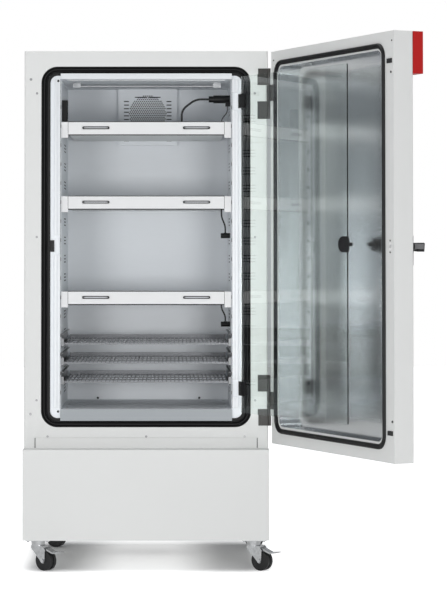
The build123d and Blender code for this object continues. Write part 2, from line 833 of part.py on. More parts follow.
# Stainless pan that lines the recess
with BuildPart() as door_inner_panel:
    with BuildSketch(door_face(door_inner + pan_depth + pan_skin)):
        with Locations(pan_middle):
            RectangleRounded(
                pan_far - pan_near - 2 * seat_gap,
                pan_high - pan_low - 2 * seat_gap,
                pan_radius - seat_gap,
            )
    extrude(amount=pan_depth + pan_skin)
    with BuildSketch(door_face(door_inner + pan_depth)):
        with Locations(pan_middle):
            RectangleRounded(
                pan_far - pan_near - 2 * seat_gap - 2 * pan_skin,
                pan_high - pan_low - 2 * seat_gap - 2 * pan_skin,
                pan_radius - seat_gap - pan_skin,
            )
    extrude(amount=pan_depth, mode=Mode.SUBTRACT)
save(door_inner_panel, "door_inner_panel")

# Hollow-looking seal on the door, swept round the recess
seal_near = 43
seal_far = door_far - 58
seal_low = 60
seal_high = door_high - 37
seal_width = 18
seal_height = 9
seal_radius = 50
with BuildPart() as door_gasket:
    with BuildSketch(door_face(door_inner)) as door_outline:
        with Locations(((seal_near + seal_far) / 2, (seal_low + seal_high) / 2)):
            RectangleRounded(seal_far - seal_near, seal_high - seal_low, seal_radius)
    door_path = door_outline.sketch.face().outer_wire()
    inward = door_face(0).z_dir.cross(door_path % 0)
    with BuildSketch(Plane(origin=door_path @ 0, x_dir=inward, z_dir=door_path % 0)) as door_cut:
        with BuildLine():
            Polyline(
                (0, 0),
                (0, 3),
                (3, seal_height),
                (8, seal_height),
                (10, 4),
                (seal_width, 4),
                (seal_width, 0),
                close=True,
            )
        make_face()
    sweep(sections=door_cut.sketch, path=door_path)
save(door_gasket, "door_gasket")

# Door leaves and their knuckles, which turn on the cabinet's pins
with BuildPart() as door_hinge_arms:
    for z1, z2, z3, z4 in pair_levels:
        zs = (z2 + 0.5, z3 - 0.5)
        block(door_plan, (3, 39), (door_inner - 3, door_inner), zs)
        posts(door_plan, [(0, 0)], barrel, zs)
        posts(door_plan, [(0, 0)], pin + seat_gap, zs, Mode.SUBTRACT)
        middle = (zs[0] + zs[1]) / 2
        discs(door_face(door_inner - 3), [(30, middle - 18), (30, middle + 18)], 4, 1.5)
save(door_hinge_arms, "door_hinge_arms")

# Catch screws, contact blocks and small studs on the door's inner face, lever base outside
with BuildPart() as door_fittings:
    discs(door_face(door_inner), [(latch_u, latch_level - 20), (latch_u, latch_level + 20)], 3, 1.2)
    with BuildSketch(door_face(door_inner)):
        with Locations((door_far - 27, door_high - 103), (door_far - 27, door_low + 103)):
            Rectangle(33, 16)
    extrude(amount=3)
    discs(door_face(door_inner), [(door_far - 17, door_high - 142), (door_far - 13, door_low + 143)], 4, 2)
    discs(door_face(door_inner), [(28, door_high - 34), (door_far - 12, door_high - 34)], 3, 1.2)
    with BuildSketch(door_face(door_outer)):
        with Locations((latch_u - 9, latch_level - 14)):
            RectangleRounded(40, 110, 8)
    extrude(amount=-8)
save(door_fittings, "door_fittings")

# Lever handle: a boss on the base and a bar that runs towards the hinge
lever_out = door_outer + 8 + seat_gap
with BuildPart() as door_lever:
    discs(door_face(lever_out), [(latch_u - 9, latch_level)], 12, -30)
    with BuildSketch(door_face(lever_out + 24)):
        with BuildLine():
            Polyline(
                (latch_u + 5, latch_level + 13),
                (latch_u - 120, latch_level + 13),
                (latch_u - 120, latch_level - 11),
                (latch_u + 1, latch_level - 18),
                close=True,
            )
        make_face()
    extrude(amount=-25)
    long_edges = door_lever.edges().filter_by(GeomType.LINE).group_by(Edge.length)[-1]
    fillet(long_edges, 5)
save(door_lever, "door_lever")

# Display housing on the outer face at the top corner by the free edge
with BuildPart() as display_housing:
    with BuildSketch(door_plan(display_low)):
        with BuildLine():
            Polyline(
                (door_far, door_outer),
                (door_far, door_outer + display_depth - 7.5),
                (door_far - 21, door_outer + display_depth),
                (door_far - display_width + 21, door_outer + display_depth),
                (door_far - display_width, door_outer + display_depth - 7.5),
                (door_far - display_width, door_outer),
                close=True,
            )
        make_face()
    extrude(amount=door_high - display_low)
    outward = Axis(door_face(0).origin, door_plan(0).y_dir)
    face_edges = display_housing.faces().sort_by(outward)[-1].edges()
    chamfer(face_edges.group_by(Axis.Z)[0], 7.5)
    face_edges = display_housing.faces().sort_by(outward)[-1].edges()
    chamfer(face_edges.group_by(Axis.Z)[-1], 7.5)
save(display_housing, "display_housing")

# Plain display with its key strip on the housing's face
display_u = door_far - display_width / 2
display_mid = (display_low + door_high) / 2
with BuildPart() as display_screen:
    with BuildSketch(door_face(door_outer + display_depth)):
        with Locations((display_u, display_mid + 18)):
            RectangleRounded(130, 68, 5)
        with Locations((display_u, display_mid - 42)):
            RectangleRounded(130, 20, 5)
    extrude(amount=-1.5)
save(display_screen, "display_screen")

# Inner glass door
with BuildPart() as glass_pane:
    with BuildSketch(glass_face(-glass_half)):
        with Locations(((glass_near + glass_far) / 2, (glass_low + glass_high) / 2)):
            RectangleRounded(glass_far - glass_near, glass_high - glass_low, 4)
    extrude(amount=-2 * glass_half)
save(glass_pane, "glass_pane")

# Clamps on the glass with their knuckles
clamp_far = 34
clamp_plate = 2.5
with BuildPart() as glass_clamps:
    for z in hinge_levels:
        tall = (z - hinge_half, z + hinge_half)
        for side in (-1, 1):
            ys = sorted((side * glass_half, side * (glass_half + clamp_plate)))
            block(glass_plan, (glass_near + 1, clamp_far), ys, tall)
        turning = (z - knuckle + 0.5, z + knuckle - 0.5)
        wide = glass_half + clamp_plate
        block(glass_plan, (0, glass_near), (-wide, wide), turning)
        for side in (-1, 1):
            ys = sorted((side * glass_half, side * wide))
            block(glass_plan, (0, glass_near + 1), ys, turning)
        posts(glass_plan, [(0, 0)], glass_barrel, turning)
        posts(glass_plan, [(0, 0)], glass_pin + seat_gap, turning, Mode.SUBTRACT)
save(glass_clamps, "glass_clamps")

# Handle on the glass: a rounded plate inside, and a bar on a post outside
handle_u = glass_far - 30
with BuildPart() as glass_handle:
    with BuildSketch(glass_face(-glass_half)):
        with Locations((glass_far - 6, handle_level)):
            Rectangle(32, 57)
        with Locations((glass_far - 22, handle_level)):
            Circle(28.5)
    extrude(amount=3)
    discs(glass_face(glass_half), [(handle_u, handle_level)], 11, -8)
    with BuildSketch(glass_face(glass_half + 8)):
        with Locations((handle_u, handle_level)):
            RectangleRounded(16, 46, 5)
    extrude(amount=-13)
    discs(glass_face(glass_half + 21), [(handle_u, handle_level)], 7, -15)
save(glass_handle, "glass_handle")

# Castors: top plate and ball race, turning fork, wheel, and a brake on the front two
castor_x = half - 56.5
rear_y = cabinet_depth - 80
castor_places = [
    (-castor_x, 60 - plinth_front, -36.9),
    (castor_x, 60 - plinth_front, -36.9),
    (-castor_x, rear_y, -20),
    (castor_x, rear_y, -50),
]
plate_thick = 4
race_level = -plinth_height - plate_thick
fork_top = race_level - 9.5
ground = -plinth_height - castor_height
axle_level = ground + wheel_diameter / 2
leg_in = wheel_width / 2 + 1.5
leg_out = leg_in + 3
pedal_x = trail + 4
pedal_z = axle_level + 43
pedal_pin = 2
with BuildPart() as castor_plates:
    for x, y, heading in castor_places:
        wide = (x - 45, x + 45)
        deep = (y - 42, y + 42)
        block(level, wide, deep, (race_level, -plinth_height))
        posts(level, [(x, y)], 27, (race_level - 9, race_level))
        posts(level, [(x, y)], 6, (fork_top - 6, race_level))
        bolts = [(x + dx, y + dy) for dx in (-37, 37) for dy in (-34, 34)]
        posts(level, bolts, 5, (race_level - 4, race_level))
save(castor_plates, "castor_plates")

for number, (x, y, heading) in enumerate(castor_places, 1):
    centre = Vector(mid_x + x, mid_y + y, base_z)
    ahead = Vector(cos(radians(heading)), sin(radians(heading)), 0)
    sideways = Vector(-sin(radians(heading)), cos(radians(heading)), 0)

    def castor_plan(z):
        return Plane(origin=centre + Vector(0, 0, z), x_dir=ahead)

    def castor_side(offset):
        return Plane(origin=centre + sideways * -offset, x_dir=ahead, z_dir=sideways * -1)

    # The fork is a round head with two legs that reach down and back to the axle
    with BuildPart() as castor_fork:
        posts(castor_plan, [(0, 0)], 25, (fork_top - 12, fork_top))
        with BuildSketch(castor_plan(fork_top - 14)):
            with BuildLine():
                Polyline((-18, leg_out), (trail, leg_out), (trail, -leg_out), (-18, -leg_out), close=True)
            make_face()
        extrude(amount=5)
        posts(castor_plan, [(0, 0)], 6 + seat_gap, (fork_top - 14, fork_top), Mode.SUBTRACT)
        with BuildSketch(castor_side(leg_out)):
            with BuildLine():
                Polyline(
                    (-18, fork_top - 9),
                    (trail, fork_top - 9),
                    (trail + 11, fork_top - 24),
                    (trail + 9, axle_level - 3),
                    (trail + 4, axle_level - 9),
                    (trail - 4, axle_level - 9),
                    (trail - 11, axle_level - 1),
                    (-18, fork_top - 20),
                    close=True,
                )
            make_face()
        extrude(amount=-3)
        with BuildSketch(castor_side(-leg_in)):
            with BuildLine():
                Polyline(
                    (-18, fork_top - 9),
                    (trail, fork_top - 9),
                    (trail + 11, fork_top - 24),
                    (trail + 9, axle_level - 3),
                    (trail + 4, axle_level - 9),
                    (trail - 4, axle_level - 9),
                    (trail - 11, axle_level - 1),
                    (-18, fork_top - 20),
                    close=True,
                )
            make_face()
        extrude(amount=-3)
        discs(castor_side(leg_out + 4), [(trail, axle_level)], 7, -4)
        discs(castor_side(-leg_out), [(trail, axle_level)], 7, -4)
        discs(castor_side(leg_in), [(trail, axle_level)], 4, -2 * leg_in)
        discs(castor_side(leg_in), [(pedal_x, pedal_z)], pedal_pin, -2 * leg_in)
    save(castor_fork, f"castor_fork_{number}")

    # The wheel has a hub and a tread with a groove round its middle
    with BuildPart() as castor_wheel:
        with BuildSketch(castor_side(wheel_width / 2)):
            with Locations((trail, axle_level)):
                Circle(wheel_diameter / 2 - 3)
                Circle(4 + seat_gap, mode=Mode.SUBTRACT)
        extrude(amount=-wheel_width)
        for start in (wheel_width / 2, -3):
            with BuildSketch(castor_side(start)):
                with Locations((trail, axle_level)):
                    Circle(wheel_diameter / 2)
                    Circle(wheel_diameter / 2 - 8, mode=Mode.SUBTRACT)
            extrude(amount=-(wheel_width / 2 - 3))
    save(castor_wheel, f"castor_wheel_{number}")

    # Brake pedal on the front castors, turning on a pin between the fork's legs
    if number <= 2:
        with BuildPart() as brake_pedal:
            with BuildSketch(castor_side(15)):
                with BuildLine():
                    Polyline(
                        (pedal_x, pedal_z + 4.6),
                        (trail + 16, pedal_z + 1),
                        (trail + 42, pedal_z - 9),
                        (trail + 77, pedal_z - 5),
                        (trail + 77, pedal_z - 9),
                        (trail + 42, pedal_z - 15),
                        (trail + 14, pedal_z - 4.5),
                        (pedal_x, pedal_z - 4.6),
                        close=True,
                    )
                make_face()
                with Locations((pedal_x, pedal_z)):
                    Circle(5)
                    Circle(pedal_pin + seat_gap, mode=Mode.SUBTRACT)
            extrude(amount=-30)
        save(brake_pedal, f"brake_pedal_{number}")

# Access port: a sleeve through the left wall and a soft plug with a head
with BuildPart() as port_sleeve:
    with BuildSketch(across(-half)):
        with Locations((port_y, port_level)):
            Circle(bore_radius)
            Circle(port_radius + seat_gap, mode=Mode.SUBTRACT)
    extrude(amount=half - inner_half)
save(port_sleeve, "port_sleeve")

with BuildPart() as port_plug:
    with BuildSketch(across(-half)):
        with Locations((port_y, port_level)):
            Circle(port_radius)
    extrude(amount=60)
    with BuildSketch(across(-half)):
        with Locations((port_y, port_level)):
            Circle(28.5)
    extrude(amount=-port_head)
    rim = port_plug.edges().filter_by(GeomType.CIRCLE).group_by(Axis.X)[0]
    fillet(rim, 2)
save(port_plug, "port_plug")
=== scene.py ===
import math

import bmesh
import bpy
from mathutils import Matrix, Vector


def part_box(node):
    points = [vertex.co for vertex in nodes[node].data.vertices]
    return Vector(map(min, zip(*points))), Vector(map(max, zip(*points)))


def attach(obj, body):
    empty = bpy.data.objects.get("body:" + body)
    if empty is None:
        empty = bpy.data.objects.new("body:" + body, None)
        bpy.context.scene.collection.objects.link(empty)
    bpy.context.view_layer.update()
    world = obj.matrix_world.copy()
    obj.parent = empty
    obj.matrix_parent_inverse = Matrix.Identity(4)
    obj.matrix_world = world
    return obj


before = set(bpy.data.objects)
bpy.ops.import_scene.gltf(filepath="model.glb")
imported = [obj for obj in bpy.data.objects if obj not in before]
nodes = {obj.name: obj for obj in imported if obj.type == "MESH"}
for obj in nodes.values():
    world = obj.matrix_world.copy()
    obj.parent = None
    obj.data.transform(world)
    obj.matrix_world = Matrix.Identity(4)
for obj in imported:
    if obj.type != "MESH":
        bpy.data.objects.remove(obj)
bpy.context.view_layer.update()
scene = bpy.context.scene

# The middle of the cabinet's front at its bottom edge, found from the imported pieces.
trimLow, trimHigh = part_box("front_frame")
middleX = (trimLow.x + trimHigh.x) / 2
frontY = trimLow.y
baseZ = trimLow.z


def place(x, y, z):
    return Vector((middleX + x / 1000, frontY + y / 1000, baseZ + z / 1000))


# Camera, with the shift that the photograph's framing needs.
cameraValues = {
    "lens": 134.51,
    "sensor": 36.0,
    "right": 94.86,
    "back": -8508.0,
    "up": 737.2,
    "pitch": 0.027,
    "shiftX": 0.0872,
    "shiftY": -0.1791,
}
cameraData = bpy.data.cameras.new("camera")
cameraData.lens = cameraValues["lens"]
cameraData.sensor_width = cameraValues["sensor"]
cameraData.shift_x = cameraValues["shiftX"]
cameraData.shift_y = cameraValues["shiftY"]
cameraData.clip_end = 100
camera = bpy.data.objects.new("camera", cameraData)
camera.location = place(cameraValues["right"], cameraValues["back"], cameraValues["up"])
camera.rotation_euler = (math.pi / 2 + cameraValues["pitch"], 0, 0)
scene.collection.objects.link(camera)
scene.camera = camera
print("stage: camera")


# Shared effects as node groups. They give colours and values, and the shader stays in the material.
def newGroup(name, inputs, outputs):
    group = bpy.data.node_groups.new(name, "ShaderNodeTree")
    for socketName, kind, value in inputs:
        socket = group.interface.new_socket(socketName, in_out="INPUT", socket_type=kind)
        socket.default_value = value
    for socketName, kind in outputs:
        group.interface.new_socket(socketName, in_out="OUTPUT", socket_type=kind)
    groupIn = group.nodes.new("NodeGroupInput")
    groupOut = group.nodes.new("NodeGroupOutput")
    return group, groupIn, groupOut


def noiseNode(group, vector, scale, detail):
    noise = group.nodes.new("ShaderNodeTexNoise")
    noise.inputs["Scale"].default_value = scale
    noise.inputs["Detail"].default_value = detail
    group.links.new(vector, noise.inputs["Vector"])
    return noise


def rangeNode(group, value, low, high):
    node = group.nodes.new("ShaderNodeMapRange")
    group.links.new(value, node.inputs["Value"])
    for name, source in (("To Min", low), ("To Max", high)):
        if isinstance(source, float):
            node.inputs[name].default_value = source
        else:
            group.links.new(source, node.inputs[name])
    return node


def mixNode(group, factor, first, second):
    node = group.nodes.new("ShaderNodeMix")
    node.data_type = "RGBA"
    group.links.new(factor, node.inputs["Factor"])
    group.links.new(first, node.inputs["A"])
    group.links.new(second, node.inputs["B"])
    return node


# Grain for painted and moulded faces: soft patches of color and gloss, and a fine bump
grainValues = {
    "patchScale": 3.0,
    "patchDetail": 3.0,
    "fineScale": 900.0,
    "fineDetail": 2.0,
    "bumpDistance": 0.001,
}


def makeGrainGroup():
    group, groupIn, groupOut = newGroup(
        "grain",
        [
            ("First Color", "NodeSocketColor", (0.7, 0.7, 0.7, 1)),
            ("Second Color", "NodeSocketColor", (0.65, 0.65, 0.65, 1)),
            ("Patch Scale", "NodeSocketFloat", grainValues["patchScale"]),
            ("Fine Scale", "NodeSocketFloat", grainValues["fineScale"]),
            ("Roughness Low", "NodeSocketFloat", 0.35),
            ("Roughness High", "NodeSocketFloat", 0.5),
            ("Bump", "NodeSocketFloat", 0.05),
        ],
        [("Color", "NodeSocketColor"), ("Roughness", "NodeSocketFloat"), ("Normal", "NodeSocketVector")],
    )
    coords = group.nodes.new("ShaderNodeTexCoord")
    position = coords.outputs["Object"]
    patches = noiseNode(group, position, grainValues["patchScale"], grainValues["patchDetail"])
    group.links.new(groupIn.outputs["Patch Scale"], patches.inputs["Scale"])
    fine = noiseNode(group, position, grainValues["fineScale"], grainValues["fineDetail"])
    group.links.new(groupIn.outputs["Fine Scale"], fine.inputs["Scale"])
    chosen = groupIn.outputs
    mix = mixNode(group, patches.outputs["Fac"], chosen["First Color"], chosen["Second Color"])
    rough = rangeNode(group, patches.outputs["Fac"], chosen["Roughness Low"], chosen["Roughness High"])
    bump = group.nodes.new("ShaderNodeBump")
    bump.inputs["Distance"].default_value = grainValues["bumpDistance"]
    group.links.new(groupIn.outputs["Bump"], bump.inputs["Strength"])
    group.links.new(fine.outputs["Fac"], bump.inputs["Height"])
    group.links.new(mix.outputs["Result"], groupOut.inputs["Color"])
    group.links.new(rough.outputs["Result"], groupOut.inputs["Roughness"])
    group.links.new(bump.outputs["Normal"], groupOut.inputs["Normal"])
    return group


# Brushed metal: streaks along one direction over faint clouds
brushedValues = {
    "streakScale": 12.0,
    "streakDetail": 4.0,
    "streakShare": 0.6,
    "cloudScale": 2.5,
    "cloudDetail": 2.0,
    "cloudShare": 0.4,
    "bumpDistance": 0.0005,
}


def makeBrushedGroup():
    group, groupIn, groupOut = newGroup(
        "brushed",
        [
            ("First Color", "NodeSocketColor", (0.6, 0.62, 0.64, 1)),
            ("Second Color", "NodeSocketColor", (0.5, 0.52, 0.55, 1)),
            ("Stretch", "NodeSocketVector", (1.0, 1.0, 60.0)),
            ("Roughness Low", "NodeSocketFloat", 0.2),
            ("Roughness High", "NodeSocketFloat", 0.4),
            ("Bump", "NodeSocketFloat", 0.05),
        ],
        [("Color", "NodeSocketColor"), ("Roughness", "NodeSocketFloat"), ("Normal", "NodeSocketVector")],
    )
    coords = group.nodes.new("ShaderNodeTexCoord")
    mapping = group.nodes.new("ShaderNodeMapping")
    group.links.new(coords.outputs["Object"], mapping.inputs["Vector"])
    group.links.new(groupIn.outputs["Stretch"], mapping.inputs["Scale"])
    values = brushedValues
    streaks = noiseNode(group, mapping.outputs["Vector"], values["streakScale"], values["streakDetail"])
    clouds = noiseNode(group, coords.outputs["Object"], values["cloudScale"], values["cloudDetail"])
    blend = group.nodes.new("ShaderNodeMath")
    blend.operation = "MULTIPLY_ADD"
    blend.inputs[1].default_value = values["streakShare"]
    cloudPart = group.nodes.new("ShaderNodeMath")
    cloudPart.operation = "MULTIPLY"
    cloudPart.inputs[1].default_value = values["cloudShare"]
    group.links.new(clouds.outputs["Fac"], cloudPart.inputs[0])
    group.links.new(streaks.outputs["Fac"], blend.inputs[0])
    group.links.new(cloudPart.outputs[0], blend.inputs[2])
    chosen = groupIn.outputs
    mix = mixNode(group, blend.outputs[0], chosen["First Color"], chosen["Second Color"])
    rough = rangeNode(group, streaks.outputs["Fac"], chosen["Roughness Low"], chosen["Roughness High"])
    bump = group.nodes.new("ShaderNodeBump")
    bump.inputs["Distance"].default_value = values["bumpDistance"]
    group.links.new(groupIn.outputs["Bump"], bump.inputs["Strength"])
    group.links.new(streaks.outputs["Fac"], bump.inputs["Height"])
    group.links.new(mix.outputs["Result"], groupOut.inputs["Color"])
    group.links.new(rough.outputs["Result"], groupOut.inputs["Roughness"])
    group.links.new(bump.outputs["Normal"], groupOut.inputs["Normal"])
    return group


grainGroup = makeGrainGroup()
brushedGroup = makeBrushedGroup()


def startMaterial(name):
    material = bpy.data.materials.new(name)
    material.use_nodes = True
    tree = material.node_tree
    shader = tree.nodes["Principled BSDF"]
    return material, tree, shader


def groupMaterial(name, group, values, shaderValues):
    material, tree, shader = startMaterial(name)
    effect = tree.nodes.new("ShaderNodeGroup")
    effect.node_tree = group
    for key, value in values.items():
        effect.inputs[key].default_value = value
    tree.links.new(effect.outputs["Color"], shader.inputs["Base Color"])
    tree.links.new(effect.outputs["Roughness"], shader.inputs["Roughness"])
    tree.links.new(effect.outputs["Normal"], shader.inputs["Normal"])
    for key, value in shaderValues.items():
        shader.inputs[key].default_value = value
    return material


def paint(name, color, dark=0.93, low=0.38, high=0.5, bump=0.03, scale=900.0, **shaderValues):
    second = (color[0] * dark, color[1] * dark, color[2] * dark, 1)
    values = {
        "First Color": (*color, 1),
        "Second Color": second,
        "Roughness Low": low,
        "Roughness High": high,
        "Bump": bump,
        "Fine Scale": scale,
    }
    return groupMaterial(name, grainGroup, values, shaderValues)


def brushed(name, color, dark, stretch, low, high, bump=0.05, **shaderValues):
    second = (color[0] * dark, color[1] * dark, color[2] * dark, 1)
    values = {
        "First Color": (*color, 1),
        "Second Color": second,
        "Stretch": stretch,
        "Roughness Low": low,
        "Roughness High": high,
        "Bump": bump,
    }
    return groupMaterial(name, brushedGroup, values, {"Metallic": 1.0, **shaderValues})


# Finishes: a color, how far it darkens in patches, and how rough it is at its smoothest and roughest
panelPaint = paint("panelPaint", (0.74, 0.745, 0.735), dark=0.975)
plinthPaint = paint("plinthPaint", (0.73, 0.735, 0.725), dark=0.97)
cassettePaint = paint("cassettePaint", (0.80, 0.805, 0.81), dark=0.97, low=0.25, high=0.35)
trimPaint = brushed("trimSteel", (0.72, 0.74, 0.76), 0.92, (1, 1, 40), 0.35, 0.5, Metallic=0.4)
screwSteel = brushed("screwSteel", (0.40, 0.40, 0.405), 0.7, (20, 20, 20), 0.25, 0.4)
runnerSteel = brushed("runnerSteel", (0.22, 0.225, 0.23), 0.8, (1, 20, 1), 0.25, 0.4)
lipChrome = brushed("lipChrome", (0.42, 0.43, 0.44), 0.9, (20, 1, 1), 0.4, 0.5, Metallic=0.5)
# Flat black: painted shade inside slots, holes and recesses, and the dark color of joints and seams
shadeBlack = paint("shadeBlack", (0.012, 0.012, 0.013), dark=0.7, low=0.5, high=0.65)
linerSteel = brushed("linerSteel", (0.85, 0.88, 0.91), 0.95, (1, 1, 60), 0.4, 0.5, Metallic=0.15)
panSteel = brushed("panSteel", (0.66, 0.675, 0.69), 0.9, (1, 1, 60), 0.13, 0.22)
fittingSteel = brushed("fittingSteel", (0.60, 0.61, 0.62), 0.85, (60, 1, 1), 0.22, 0.4)
zincSteel = brushed("zincSteel", (0.72, 0.73, 0.74), 0.35, (6, 6, 6), 0.15, 0.3)
chromeWire = brushed("chromeWire", (0.20, 0.205, 0.215), 0.85, (1, 40, 1), 0.25, 0.4)
sealRubber = paint(
    "sealRubber",
    (0.005, 0.005, 0.0055),
    dark=0.7,
    low=0.45,
    high=0.6,
    bump=0.15,
    scale=500.0,
    **{"Specular IOR Level": 0.3},
)
blackPlastic = paint(
    "blackPlastic",
    (0.005, 0.005, 0.0055),
    dark=0.75,
    low=0.3,
    high=0.42,
    bump=0.08,
    **{"Specular IOR Level": 0.35},
)
treadRubber = paint(
    "treadRubber",
    (0.004, 0.004, 0.0045),
    dark=0.6,
    low=0.3,
    high=0.45,
    bump=0.2,
    scale=400.0,
)
cordSheath = paint("cordSheath", (0.010, 0.010, 0.011), dark=0.7, low=0.35, high=0.5, bump=0.1)
hingeCast = paint("hingeCast", (0.035, 0.031, 0.028), dark=0.7, low=0.25, high=0.45, bump=0.12, scale=700.0)
leverPlastic = paint("leverPlastic", (0.008, 0.008, 0.009), dark=0.8, low=0.3, high=0.42)
catchWhite = paint("catchWhite", (0.97, 0.97, 0.97), dark=0.98, low=0.2, high=0.3)
# Grey for the plate on the lever's end: a painted highlight on the black lever
leverHighlightGrey = paint("leverHighlightGrey", (0.17, 0.17, 0.175), dark=0.85, low=0.35, high=0.5)
redPlastic = paint(
    "redPlastic",
    (0.48, 0.010, 0.009),
    dark=0.9,
    low=0.3,
    high=0.4,
    bump=0.02,
    **{"Specular IOR Level": 0.25},
)
screenGloss = paint("screenGloss", (0.012, 0.014, 0.018), dark=0.8, low=0.05, high=0.1, bump=0.0)
diffuserPlastic = paint("diffuserPlastic", (0.80, 0.82, 0.82), dark=0.96, low=0.3, high=0.4)
lampGlass = paint("lampGlass", (0.85, 0.86, 0.84), dark=0.97, low=0.1, high=0.15)
foamFill = paint("foamFill", (0.72, 0.66, 0.45), dark=0.85, low=0.8, high=0.95, bump=0.4, scale=300.0)
coolingPaint = paint("coolingPaint", (0.03, 0.03, 0.032), dark=0.8, low=0.35, high=0.5)
fanMetal = brushed("fanMetal", (0.6, 0.61, 0.62), 0.9, (20, 20, 20), 0.3, 0.4)


# The sill under the opening is the same steel in shade, so its color is mixed in by height.
sillValues = {"top": 148.0, "blend": 0.001, "color": (0.30, 0.32, 0.335, 1)}


def shadeSill(material, sillTop):
    tree = material.node_tree
    shader = tree.nodes["Principled BSDF"]
    color = shader.inputs["Base Color"].links[0].from_socket
    coords = tree.nodes.new("ShaderNodeTexCoord")
    split = tree.nodes.new("ShaderNodeSeparateXYZ")
    tree.links.new(coords.outputs["Object"], split.inputs["Vector"])
    mask = rangeNode(tree, split.outputs["Z"], 1.0, 0.0)
    mask.inputs["From Min"].default_value = sillTop - sillValues["blend"]
    mask.inputs["From Max"].default_value = sillTop
    mix = tree.nodes.new("ShaderNodeMix")
    mix.data_type = "RGBA"
    mix.inputs["B"].default_value = sillValues["color"]
    tree.links.new(mask.outputs["Result"], mix.inputs["Factor"])
    tree.links.new(color, mix.inputs["A"])
    tree.links.new(mix.outputs["Result"], shader.inputs["Base Color"])


shadeSill(trimPaint, place(0, 0, sillValues["top"]).z)

# Clear glass with a faint smear in its gloss. Shadow rays pass it with only a slight tint.
glassValues = {
    "color": (0.93, 0.965, 0.95, 1),
    "shadowTint": (0.92, 0.95, 0.94, 1),
    "ior": 1.5,
    "smearScale": 3.0,
    "smearDetail": 2.0,
    "smearRoughness": 0.02,
}


def makeGlass():
    material, tree, shader = startMaterial("paneGlass")
    coords = tree.nodes.new("ShaderNodeTexCoord")
    smear = noiseNode(tree, coords.outputs["Object"], glassValues["smearScale"], glassValues["smearDetail"])
    rough = rangeNode(tree, smear.outputs["Fac"], 0.0, glassValues["smearRoughness"])
    tree.links.new(rough.outputs["Result"], shader.inputs["Roughness"])
    shader.inputs["Base Color"].default_value = glassValues["color"]
    shader.inputs["IOR"].default_value = glassValues["ior"]
    shader.inputs["Transmission Weight"].default_value = 1.0
    path = tree.nodes.new("ShaderNodeLightPath")
    clear = tree.nodes.new("ShaderNodeBsdfTransparent")
    clear.inputs["Color"].default_value = glassValues["shadowTint"]
    blend = tree.nodes.new("ShaderNodeMixShader")
    out = tree.nodes["Material Output"]
    tree.links.new(path.outputs["Is Shadow Ray"], blend.inputs[0])
    tree.links.new(shader.outputs["BSDF"], blend.inputs[1])
    tree.links.new(clear.outputs["BSDF"], blend.inputs[2])
    tree.links.new(blend.outputs["Shader"], out.inputs["Surface"])
    return material


paneGlass = makeGlass()

# Which finish each solid has
looks = {
    panelPaint: ["front_frame", "service_panel", "side_panels", "top_panel", "rear_panel", "door_shell"],
    plinthPaint: ["plinth_cover", "plinth_base", "rear_grille"],
    cassettePaint: ["light_cassettes", "light_rails"],
    trimPaint: ["opening_trim"],
    linerSteel: ["chamber_liner", "wall_panels", "back_wall", "fan_cover"],
    panSteel: ["door_inner_panel"],
    fittingSteel: ["hanger_rod"],
    screwSteel: ["frame_screws"],
    runnerSteel: ["rack_runners"],
    zincSteel: [
        "castor_plates",
        "castor_fork_1",
        "castor_fork_2",
        "castor_fork_3",
        "castor_fork_4",
        "brake_pedal_1",
        "brake_pedal_2",
    ],
    chromeWire: ["rack_1", "rack_2", "rack_3"],
    sealRubber: ["frame_gasket", "door_gasket"],
    blackPlastic: [
        "glass_door_fittings",
        "light_connectors",
        "climate_sensor",
        "door_fittings",
        "glass_clamps",
        "glass_handle",
        "fan_motor",
        "port_plug",
    ],
    treadRubber: [f"castor_wheel_{n}" for n in (1, 2, 3, 4)],
    cordSheath: ["light_cable_1", "light_cable_2", "light_cable_3", "sensor_cable"],
    hingeCast: ["door_hinges", "door_hinge_arms"],
    leverPlastic: ["door_lever"],
    redPlastic: ["display_housing"],
    screenGloss: ["display_screen"],
    diffuserPlastic: ["light_diffusers", "port_sleeve"],
    lampGlass: ["lamp_tubes"],
    foamFill: ["insulation"],
    coolingPaint: ["cooling_unit"],
    fanMetal: ["fan_rotor"],
    paneGlass: ["glass_pane"],
}
for material, names in looks.items():
    for name in names:
        nodes[name].data.materials.clear()
        nodes[name].data.materials.append(material)
print("stage: materials")


# Small pieces are built as boxes, discs and rounded bars in cabinet millimetres.
def addBox(mesh, xs, ys, zs):
    corner = place(xs[0], ys[0], zs[0])
    far = place(xs[1], ys[1], zs[1])
    stretch = Matrix.Diagonal((*(far - corner), 1))
    bmesh.ops.create_cube(mesh, size=1.0, matrix=Matrix.Translation((corner + far) / 2) @ stretch)


def addPost(mesh, start, end, radius, sides=20):
    first = place(*start)
    along = place(*end) - first
    turn = along.to_track_quat("Z", "Y").to_matrix().to_4x4()
    bmesh.ops.create_cone(
        mesh,
        cap_ends=True,
        segments=sides,
        radius1=radius / 1000,
        radius2=radius / 1000,
        depth=along.length,
        matrix=Matrix.Translation(first + along / 2) @ turn,
    )


# A bar with round ends, lying across the cabinet
def addBar(mesh, x, ys, z, length, height):
    reach = (length - height) / 2
    addBox(mesh, (x - reach, x + reach), ys, (z - height / 2, z + height / 2))
    for side in (-1, 1):
        addPost(mesh, (x + side * reach, ys[0], z), (x + side * reach, ys[1], z), height / 2)


def span(start, pair):
    return (start + pair[0], start + pair[1])


# The two places of a pair on one side of the middle, the lower first
def onSide(side, pair):
    return sorted((side * pair[0], side * pair[1]))


def finishPiece(mesh, name, material, body="cabinet"):
    data = bpy.data.meshes.new(name)
    mesh.to_mesh(data)
    mesh.free()
    piece = bpy.data.objects.new(name, data)
    scene.collection.objects.link(piece)
    data.materials.append(material)
    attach(piece, body)
    return piece
